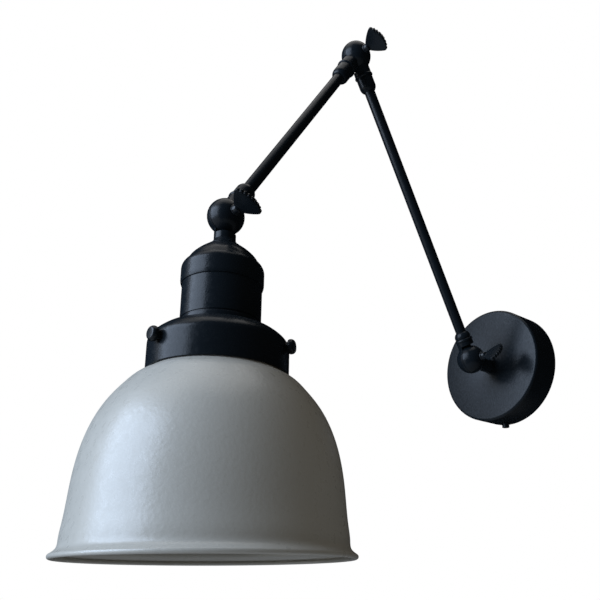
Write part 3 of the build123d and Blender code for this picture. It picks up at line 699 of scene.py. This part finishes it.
class LAMP_OT_wing_screws(bpy.types.Operator):
    """Fan-bladed clamping screws with a notched edge and softened corners"""

    bl_idname = "lamp.wing_screws"
    bl_label = "Wing screws"

    def fan(self, wings, seat):
        """Closed outline of the blade: flank, notched arc, flank, and the root on the hub.

        A notch is a circle of radius n whose middle is c out, so at the angle d from it the edge is
        at c cos d - sqrt(n^2 - c^2 sin^2 d). A corner P is a parabola between its tangent points A
        and B, (1 - t)^2 A + 2t (1 - t) P + t^2 B.
        """
        apex, radius, half = seat + wings.apex / MM, wings.radius / MM, wings.half
        corner_r, waist = wings.corner / MM, wings.waist / MM
        reach = half - corner_r / radius
        turn = np.linspace(-reach, reach, 30 * wings.teeth)
        step, notch = 2 * half / wings.teeth, wings.notch_radius / MM
        middle = radius + notch - wings.notch / MM
        off = ((turn + half) / step + 0.5) % 1 * step - step / 2
        inside = notch**2 - (middle * np.sin(off)) ** 2
        bite = middle * np.cos(off) - np.sqrt(np.maximum(inside, 0))
        size = np.where(inside > 0, np.minimum(radius, bite), radius)
        edge = np.stack([apex + size * np.cos(turn), size * np.sin(turn)], axis=1)
        corner = np.array([apex + radius * math.cos(half), radius * math.sin(half)])
        root_out, root_half = 3.2, 2.9
        root = np.array([seat + root_out, root_half])
        flank = bulged(corner, root, waist, 40)
        flank = flank[np.linalg.norm(flank - corner, axis=1) > corner_r]
        t = np.linspace(0, 1, 12)[1:-1, None]
        bend = (1 - t) ** 2 * edge[-1] + 2 * t * (1 - t) * corner + t**2 * flank[0]
        side = np.vstack([bend, flank])
        return np.vstack([edge, side, side[::-1] * [1, -1]])

    def blade(self, outline, thickness, edge=0.55):
        """Rings of the outline, moved in and up along a quarter round of the edge's radius."""
        smooth = clean(outline)
        along = np.roll(smooth, -1, axis=0) - np.roll(smooth, 1, axis=0)
        along /= np.linalg.norm(along, axis=1)[:, None]
        inside = np.stack([-along[:, 1], along[:, 0]], axis=1)
        turn = np.radians(np.linspace(-90, 90, 13))
        inset = edge * (1 - np.cos(turn))
        lift = (thickness / 2 - edge) * np.sign(turn) + edge * np.sin(turn)
        flat = smooth[None] + inside[None] * inset[:, None, None]
        height = np.broadcast_to(lift[:, None, None], flat.shape[:2] + (1,))
        return np.concatenate([flat, height], axis=-1)

    def execute(self, context):
        wings, arms = context.scene.lamp_wings, context.scene.lamp_arms
        seat = arms.seat / MM
        blade = self.blade(self.fan(wings, seat), wings.thickness / MM)
        shank, tip, flange, hub, end = 2.0, -8.7, 3.5, 2.8, seat + 5.2
        low, high = seat + 0.1, seat + 1.1
        screw = rounded([
            (AXIS, tip, 0), (shank, tip, 0.3), (shank, low, 0), (flange, low, 0.2),
            (flange, high, 0.3), (3.0, high + 0.3, 0.2), (hub, end - 1.3, 1.0), (AXIS, end, 0),
        ])
        screw = crosswise(lathe(screw, 40))
        places = [
            ("wing_screw_wall", WALL_PIVOT, wings.wall_turn, "wing_wall"),
            ("wing_screw_elbow", ELBOW_PIVOT, wings.elbow_turn, "wing_elbow"),
            ("wing_screw_head", HEAD_PIVOT, wings.head_turn, "wing_head"),
        ]
        for node, pivot, turn, body in places:
            where = Matrix.Translation(pivot) @ Matrix.Rotation(turn, 4, "X")
            parts = [(placed(blade, where), False), (placed(screw, where), True)]
            piece(node + "_fan", parts, body, "blackened_screws", [node], crease=50)
        return {"FINISHED"}


# Outer curves as (radius, depth): below the head joint, but below the holder's top for HOLDER.
CAP = [
    (6.4, 16.0), (7.4, 17.6), (9.1, 19.5), (11.7, 21.5), (14.3, 23.5), (16.5, 25.5), (19.1, 28.4),
    (20.9, 31.6),
]
HOLDER = [
    (24.6, 0.0), (28.4, 0.9), (31.6, 2.5), (34.4, 4.5), (37.1, 7.0), (38.6, 9.5), (39.0, 12.0),
]
SHADE = [
    (35.6, 92.1), (37.4, 98.6), (42.6, 102.0), (49.1, 108.0), (56.9, 118.0), (63.1, 130.0),
    (67.6, 145.0), (70.1, 162.0), (71.8, 180.0), (72.7, 188.0), (73.4, 192.2),
]


class LAMP_OT_lamp_holder(bpy.types.Operator):
    """Domed cap and straight skirt of the lamp holder, grooved and beaded above the shade holder"""

    bl_idname = "lamp.lamp_holder"
    bl_label = "Lamp holder"

    def cap(self, holder):
        """Dome, the band's round shoulder, its drawn-in edge, and the inside."""
        wall, bore = holder.cap_wall / MM, holder.shell / MM + FIT
        at, bottom, bulge = holder.band_at / MM, holder.cap_bottom / MM, holder.band_bulge / MM
        band, edge_depth, drawn_in, edge_bulge = bore + wall, 2.6, 0.5, 0.125
        edge = (band, bottom - edge_depth)
        stem, top, ceiling, hollow_from = 5.05, CAP[0][1], 20.2, 21.5
        outer = spline(CAP, 70)
        inner = offset(outer, wall)
        inner = inner[inner[:, 1] > hollow_from]
        return rounded(
            np.vstack([
                plain(outer[:-1]),
                plain(bulged(outer[-1], (band, at), bulge, 12)),
                plain(bulged(edge, (band - drawn_in, bottom), edge_bulge, 7)),
                [(bore, bottom, 0.1), (bore, at, 0)],
                plain(bulged(inner[-1], (bore, at), bulge, 10)[::-1][1:]),
                plain(inner[::-1][1:]),
                [(inner[0][0], ceiling, 0), (stem, ceiling, 0), (stem, top, 0)],
            ])
        )

    def shell(self, holder):
        """Skirt from its edge inside the cap to the groove and bead, then the stub with its lip."""
        radius, top, edge = holder.shell / MM, holder.top / MM, 40.2
        low, proud, bead, groove = radius - 0.5, radius + 0.1, top - 3.6, 1.0
        stub, wall, lip, end = radius - SKIRT_STEP, 1, 2.6, top + 10
        return rounded([
            (radius, edge, 0.1), (radius, bead - groove, 0.25), (low, bead - groove, 0.2),
            (low, bead, 0.2), (proud, bead, 0.5), (proud + 0.05, bead + 1.8, 1.0),
            (proud, top, 0.5), (stub, top, 0), (stub, end, 0.2), (stub - lip, end, 0.3),
            (stub - lip, end - wall, 0.1), (stub - wall, end - wall, 0), (stub - wall, edge, 0.1),
        ])

    def execute(self, context):
        holder = context.scene.lamp_holder
        cap, shell = self.cap(holder), self.shell(holder)
        spun("socket_cap_domed", cap, 128, HEAD, "head", "black_metal", "socket_cap")
        spun("socket_shell_skirt", shell, 128, HEAD, "head", "black_metal", "socket_shell")
        return {"FINISHED"}


class LAMP_OT_thread_shell(bpy.types.Operator):
    """Rolled brass shell with the round thread that takes the lamp's cap"""

    bl_idname = "lamp.thread_shell"
    bl_label = "Thread shell"

    def execute(self, context):
        """Inner radius r = R - w + d / 2 (1 + sin(2 pi z / pitch - a)), smooth towards both ends.

        R is the thread's radius, w the wall and d the thread's depth. The outside is a cylinder.
        """
        holder = context.scene.lamp_holder
        box = np.array(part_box("screw_shell"))
        top, bottom = ((HEAD_PIVOT[2] - box[i][2]) / MM for i in (1, 0))
        pitch, radius = holder.pitch / MM, holder.thread / MM
        wall, smooth, deep, fade_length, floor_t, floor_hole = 0.35, 0.45, 0.5, 2, 0.4, 9.0
        a = np.linspace(0, 2 * math.pi, 96, endpoint=False)[None]
        z = np.linspace(top + floor_t, bottom, 120)[:, None]
        fade = np.clip((bottom - z) / fade_length, 0, 1) * np.clip((z - top) / fade_length, 0, 1)
        wave = 0.5 * (1 + np.sin(2 * math.pi * z / pitch - a)) * fade
        inner = radius - wall + smooth * (1 - fade) + deep * wave
        outer = np.full_like(inner, radius + 0.48)
        rings = [(r * np.cos(a), r * np.sin(a), z + 0 * a) for r in (inner, outer)]
        rings = [np.stack(ring, axis=-1) for ring in rings]
        floor = np.array([(floor_hole, top + floor_t), (floor_hole, top), (radius + 0.42, top)])
        grid = np.concatenate([rings[0], rings[1][::-1], lathe(floor, 96)[::-1]])
        parts = [(placed(grid, HEAD), True)]
        piece("thread_shell_rolled", parts, "head", "brass_parts", ["screw_shell"])
        return {"FINISHED"}


class LAMP_OT_shade_holder(bpy.types.Operator):
    """Spun cup over the shade's neck, with a rounded shoulder"""

    bl_idname = "lamp.shade_holder"
    bl_label = "Shade holder"

    def execute(self, context):
        holder = context.scene.lamp_holder
        top, depth, wall = holder.top / MM, holder.depth / MM, holder.wall / MM
        bore = holder.shell / MM - SKIRT_STEP + FIT
        outer = spline(HOLDER, 40, start=(1, 0), end=(0, 1)) + [0, top]
        inner = offset(outer, wall)
        outline = rounded(
            np.vstack([
                [(bore, top, 0.1)],
                plain(outer),
                [(outer[-1][0], top + depth, 0.35), (outer[-1][0] - wall, top + depth, 0.35)],
                plain(inner[::-1]),
                [(bore, top + wall, 0.1)],
            ])
        )
        spun("shade_holder_spun", outline, 144, HEAD, "head", "black_metal", "shade_holder")
        return {"FINISHED"}


class LAMP_OT_thumb_screws(bpy.types.Operator):
    """Round-headed screws through the shade holder, knurled on the edge"""

    bl_idname = "lamp.thumb_screws"
    bl_label = "Thumb screws"

    def head(self, sides=120, ridges=24, ridge_depth=0.022):
        """Lathe of the screw; its widest radius is r (1 - k (1 + cos n a) / 2), for n ridges."""
        shank, tip, collar, wall_at = 1.8, 35.9, 2.8, 39.1
        head, under, top = 4.2, 40.7, 44.1
        outline = rounded([
            (AXIS, tip, 0), (shank, tip, 0.2), (shank, wall_at, 0), (collar, wall_at, 0.1),
            (collar, under, 0.1), (head - 0.3, under, 0.4), (head, under + 0.6, 0.5),
            (head, top - 1.3, 0.9), (head - 1, top, 1.2), (AXIS, top, 0),
        ])
        grid = lathe(outline, sides)
        a = np.linspace(0, 2 * math.pi, sides, endpoint=False)
        wide = np.clip((outline[:, 0] - (head - 0.5)) / 0.4, 0, 1)[:, None]
        grid[..., :2] *= (1 - ridge_depth * wide * (0.5 + 0.5 * np.cos(ridges * a)))[..., None]
        return grid

    def execute(self, context):
        for i in (1, 2, 3):
            joint = JOINTS[f"thumb_{i}_turn"]
            turn = Vector(joint["axis"]).to_track_quat("Z", "X").to_matrix().to_4x4()
            where = Matrix.Translation((HEAD_PIVOT[0], HEAD_PIVOT[1], joint["pos_m"][2])) @ turn
            parts = [(placed(self.head(), where), True)]
            name = f"thumb_screw_{i}"
            piece(name + "_knurled", parts, f"thumb_{i}", "blackened_screws", [name])
        return {"FINISHED"}


class LAMP_OT_shade(bpy.types.Operator):
    """Spun dome with a rolled edge inside the holder and a flared, beaded rim"""

    bl_idname = "lamp.shade"
    bl_label = "Shade"

    def outline(self, shade):
        """Outer curve to the rim, the bead as a circle that it touches, and the inner curve."""
        wall, neck, bead, flare = shade.wall / MM, shade.neck / MM, shade.bead / MM, shade.flare
        lip, lip_top, lip_bottom = neck + 1.5, 80.6, 82.6
        centre = np.array([shade.rim / MM - bead, shade.rim_at / MM])
        over = centre + bead * np.array([math.cos(flare), -math.sin(flare)])
        along = (math.sin(flare), math.cos(flare))
        outer = spline(SHADE + [tuple(over)], 170, start=(0, 1), end=along)
        inner = offset(outer, wall)
        inner[0] = (neck - wall, outer[0][1])
        inner = inner[np.linalg.norm(inner - centre, axis=1) > bead]
        into = np.degrees(np.arctan2(*(inner[-1] - centre)[::-1])) % 360
        roll = arc(centre, bead, -math.degrees(flare), into, 44)
        return rounded(
            np.vstack([
                [(neck - wall, lip_top, 0.3), (lip, lip_top, 0.9)],
                [(lip, lip_bottom, 0.9), (neck, lip_bottom, 0.3)],
                plain(outer),
                plain(roll[1:]),
                plain(inner[::-1][1:]),
            ])
        )

    def execute(self, context):
        outline = self.outline(context.scene.lamp_shade)
        spun("shade_spun", outline, 224, HEAD, "head", "shade_paint", "shade")
        return {"FINISHED"}


# ---- Stage ----
class LAMP_OT_stage(bpy.types.Operator):
    """Pale floor, white surroundings, a dark drape, two lights and a camera at the viewing angle"""

    bl_idname = "lamp.stage"
    bl_label = "Stage"

    # Middles of the lights, right, ahead and up of the lamp's middle, and their sides, in metres
    WINDOW_AT, WINDOW_SIDE, WINDOW_TINT = (-1.21, -0.65, 0.38), 1.2, "#CDE2FF"
    CEILING_AT, CEILING_SIDE, CEILING_TINT = (-0.2, 0.0, 1.5), 1.4, "#FFF6EA"
    ROOM_TINT = "#F4F1EA"
    # Ends of the drape in degrees: clockwise from straight behind the camera, and up from level
    DRAPE_AROUND, DRAPE_UP = (-262, 36), (-40, 66)

    def floor(self, stage):
        material, tree = new_material("floor_board")
        _, _, tint = mottled(tree, 120, 2.0, (*linear("#E9E8E6"), 1), (*linear("#F1F0EE"), 1))
        surface(tree, "ShaderNodeBsdfPrincipled", {"Base Color": tint, "Roughness": 0.7})
        half, low = stage.floor, FRAME_BOX[0][2] - stage.drop
        corners = [(x * half, y * half, low) for x, y in ((-1, -1), (1, -1), (1, 1), (-1, 1))]
        floor = mesh_object("floor", corners, [(0, 1, 2, 3)], material)

    def drape(self, stage, view, middle):
        """Dark belt of a sphere, open where the window stands, that only reflections see."""
        material, tree = new_material("dark_drape")
        _, _, tint = mottled(tree, 60, 2.0, (*linear("#101113"), 1), (*linear("#1B1C1F"), 1))
        surface(tree, "ShaderNodeBsdfDiffuse", {"Color": tint})
        around = np.radians(np.linspace(*self.DRAPE_AROUND, 60))
        up = np.radians(np.linspace(*self.DRAPE_UP, 24))
        a, b = np.meshgrid(view.yaw - math.pi / 2 - around, up)
        points = [np.cos(b) * np.cos(a), np.cos(b) * np.sin(a), np.sin(b)]
        points = (np.stack(points, axis=-1) * stage.drape).reshape(-1, 3) + np.array(middle)
        row = len(around)
        i, j = np.meshgrid(np.arange(len(up) - 1), np.arange(row - 1), indexing="ij")
        corner = (i * row + j).ravel()
        faces = np.stack([corner, corner + 1, corner + row + 1, corner + row], axis=-1)
        drape = mesh_object("drape", points, faces.tolist(), material)
        drape.visible_camera = drape.visible_diffuse = drape.visible_shadow = False

    def world(self, stage):
        """White to the camera, to reflections and through glass; a dim room for everything else."""
        world = bpy.data.worlds.new("studio")
        world.use_nodes = True
        tree = world.node_tree
        tree.nodes.clear()
        path = add(tree, "ShaderNodeLightPath")
        seen = path.outputs["Is Camera Ray"]
        for ray in ("Is Glossy Ray", "Is Transmission Ray"):
            pair = {0: seen, 1: path.outputs[ray]}
            seen = add(tree, "ShaderNodeMath", pair, operation="MAXIMUM").outputs[0]
        tint = (*linear(self.ROOM_TINT), 1)
        room = add(tree, "ShaderNodeBackground", {"Color": tint, "Strength": stage.room})
        white = add(tree, "ShaderNodeBackground", {"Color": (1, 1, 1, 1), "Strength": 1.0})
        mix = add(tree, "ShaderNodeMixShader", {0: seen, 1: room.outputs[0], 2: white.outputs[0]})
        add(tree, "ShaderNodeOutputWorld", {"Surface": mix.outputs[0]})
        bpy.context.scene.world = world

    def light(self, name, power, place, target, side, tint):
        data = bpy.data.lights.new(name, "AREA")
        data.shape, data.size, data.size_y = "RECTANGLE", side, side
        data.energy, data.color = power, linear(tint)
        lamp = bpy.data.objects.new(name, data)
        lamp.location = place
        lamp.rotation_euler = (Vector(target) - Vector(place)).to_track_quat("-Z", "Y").to_euler()
        lamp.visible_camera = False
        bpy.context.scene.collection.objects.link(lamp)

    def camera(self, view):
        """Columns of the turn are right, up and back, from yaw and pitch, then rolled."""
        cy, sy = math.cos(view.yaw), math.sin(view.yaw)
        cp, sp = math.cos(view.pitch), math.sin(view.pitch)
        ahead = Vector((-sy * cp, cy * cp, sp))
        right = Vector((cy, sy, 0))
        up = right.cross(ahead)
        c, s = math.cos(view.roll), math.sin(view.roll)
        right, up = c * right + s * up, c * up - s * right
        data = bpy.data.cameras.new("view")
        data.sensor_width, data.lens = 36.0, view.lens
        data.shift_x, data.shift_y = view.shift
        data.clip_start, data.clip_end = 0.02, 50
        camera = bpy.data.objects.new("view", data)
        turn = Matrix((right, up, -ahead)).transposed().to_4x4()
        camera.matrix_world = Matrix.Translation(view.place) @ turn
        bpy.context.scene.collection.objects.link(camera)
        bpy.context.scene.camera = camera

    def execute(self, context):
        stage, view = context.scene.lamp_stage, context.scene.lamp_camera
        self.floor(stage)
        self.world(stage)
        middle = (FRAME_BOX[0] + FRAME_BOX[1]) / 2
        right = Vector((math.cos(view.yaw), math.sin(view.yaw), 0))
        ahead = Vector((-math.sin(view.yaw), math.cos(view.yaw), 0))
        self.drape(stage, view, middle)
        for name, power, (x, y, z), side, tint in (
            ("window", stage.window, self.WINDOW_AT, self.WINDOW_SIDE, self.WINDOW_TINT),
            ("ceiling", stage.ceiling, self.CEILING_AT, self.CEILING_SIDE, self.CEILING_TINT),
        ):
            place = middle + right * x + ahead * y + Vector((0, 0, z))
            self.light(name, power, place, middle, side, tint)
        self.camera(view)
        context.scene.view_settings.view_transform = "Standard"
        return {"FINISHED"}


PIECES = (
    LAMP_OT_canopy,
    LAMP_OT_fixings,
    LAMP_OT_knuckles,
    LAMP_OT_arms,
    LAMP_OT_wing_screws,
    LAMP_OT_lamp_holder,
    LAMP_OT_thread_shell,
    LAMP_OT_shade_holder,
    LAMP_OT_thumb_screws,
    LAMP_OT_shade,
    LAMP_OT_stage,
)
GROUPS = {
    "lamp_finish": LampFinish,
    "lamp_canopy": LampCanopy,
    "lamp_shade": LampShade,
    "lamp_holder": LampHolder,
    "lamp_arms": LampArms,
    "lamp_wings": LampWings,
    "lamp_stage": LampStage,
    "lamp_camera": LampCamera,
}


class LAMP_PT_sidebar(bpy.types.Panel):
    """Settings and build steps of the wall lamp"""

    bl_idname = "LAMP_PT_sidebar"
    bl_label = "Wall lamp"
    bl_space_type = "VIEW_3D"
    bl_region_type = "UI"
    bl_category = "Wall lamp"

    def draw(self, context):
        for group in GROUPS:
            box = self.layout.box()
            box.label(text=group.removeprefix("lamp_").capitalize())
            settings = getattr(context.scene, group)
            for name in settings.bl_rna.properties.keys():
                if name not in ("rna_type", "name"):
                    box.prop(settings, name)
        for operator in PIECES:
            self.layout.operator(operator.bl_idname)


def register():
    for group, settings in GROUPS.items():
        bpy.utils.register_class(settings)
        setattr(bpy.types.Scene, group, PointerProperty(type=settings))
    for operator in PIECES:
        bpy.utils.register_class(operator)
    bpy.utils.register_class(LAMP_PT_sidebar)


def unregister():
    bpy.utils.unregister_class(LAMP_PT_sidebar)
    for operator in reversed(PIECES):
        bpy.utils.unregister_class(operator)
    for group, settings in reversed(GROUPS.items()):
        delattr(bpy.types.Scene, group)
        bpy.utils.unregister_class(settings)


def main():
    register()
    for operator in PIECES:
        group, name = operator.bl_idname.split(".")
        getattr(getattr(bpy.ops, group), name)()


if __name__ == "__main__":
    main()
